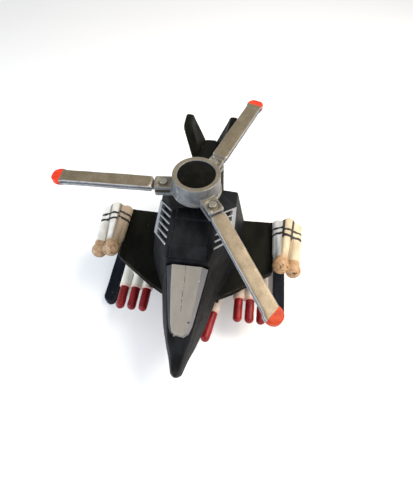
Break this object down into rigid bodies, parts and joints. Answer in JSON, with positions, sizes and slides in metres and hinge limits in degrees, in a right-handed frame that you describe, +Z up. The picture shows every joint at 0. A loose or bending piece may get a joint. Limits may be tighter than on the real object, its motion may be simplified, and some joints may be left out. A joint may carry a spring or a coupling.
{
  "type": "toy attack helicopter",
  "caption": "Small moulded toy attack helicopter with a freely spinning rotor, riveted swinging blades, wing-tip barrel clusters, under-wing launchers, V-tail and runners.",
  "frame": {"origin": "on the ground plane that the runners stand on, straight under the rotor axle", "axes": "+Z up along the rotor axle, nose towards -Y, x = 0 is the mirror plane of the airframe"},
  "size_m": [0.0865, 0.0981, 0.0561],
  "materials": {
    "black_body": "satin black moulded plastic with worn edges",
    "canopy_silver": "satin silver-grey paint, scuffed",
    "grille_silver": "silver paint on raised slats",
    "rotor_silver": "metallic silver paint with pits",
    "cap_black": "gloss black",
    "store_white": "cream white paint with black bands and tan noses",
    "missile_red": "red paint",
    "steel": "bright steel"
  },
  "bodies": {
    "airframe": {"nose_shell": "black_body", "engine_housing": "black_body", "lower_shell": "black_body", "canopy": "canopy_silver", "spine_cover": "black_body", "left_grille": "grille_silver", "right_grille": "grille_silver", "tail_boom": "black_body", "left_fin": "black_body", "right_fin": "black_body", "left_wing": "black_body", "right_wing": "black_body", "left_barrel_cluster": "store_white", "right_barrel_cluster": "store_white", "left_launcher": "store_white", "right_launcher": "store_white", "left_missiles": "missile_red", "right_missiles": "missile_red", "left_belly_tube": "store_white", "right_belly_tube": "store_white", "left_belly_missile": "missile_red", "right_belly_missile": "missile_red", "left_runner": "black_body", "right_runner": "black_body", "body_screws": "steel", "mast_collar": "black_body", "rotor_axle": "steel", "axle_washer": "steel"},
    "rotor": {"rotor_hub": "rotor_silver", "hub_cap": "cap_black", "blade_rivets": "steel"},
    "left_blade": {"left_blade": "rotor_silver"},
    "rear_blade": {"rear_blade": "rotor_silver"},
    "front_blade": {"front_blade": "rotor_silver"}
  },
  "joints": [
    {"name": "rotor_spin", "type": "hinge", "parent": "airframe", "child": "rotor", "pos_m": [0, 0, 0.05], "axis": [0, 0, 1], "continuous": true},
    {"name": "left_blade_swing", "type": "hinge", "parent": "rotor", "child": "left_blade", "pos_m": [-0.01036, -0.00091, 0.0503], "axis": [0, 0, 1], "range_deg": [-3.2, 14.8]},
    {"name": "rear_blade_swing", "type": "hinge", "parent": "rotor", "child": "rear_blade", "pos_m": [0.00439, 0.00943, 0.0503], "axis": [0, 0, 1], "range_deg": [-14.5, 3.5]},
    {"name": "front_blade_swing", "type": "hinge", "parent": "rotor", "child": "front_blade", "pos_m": [0.00596, -0.00852, 0.0503], "axis": [0, 0, 1], "range_deg": [-5.6, 12.4]}
  ]
}
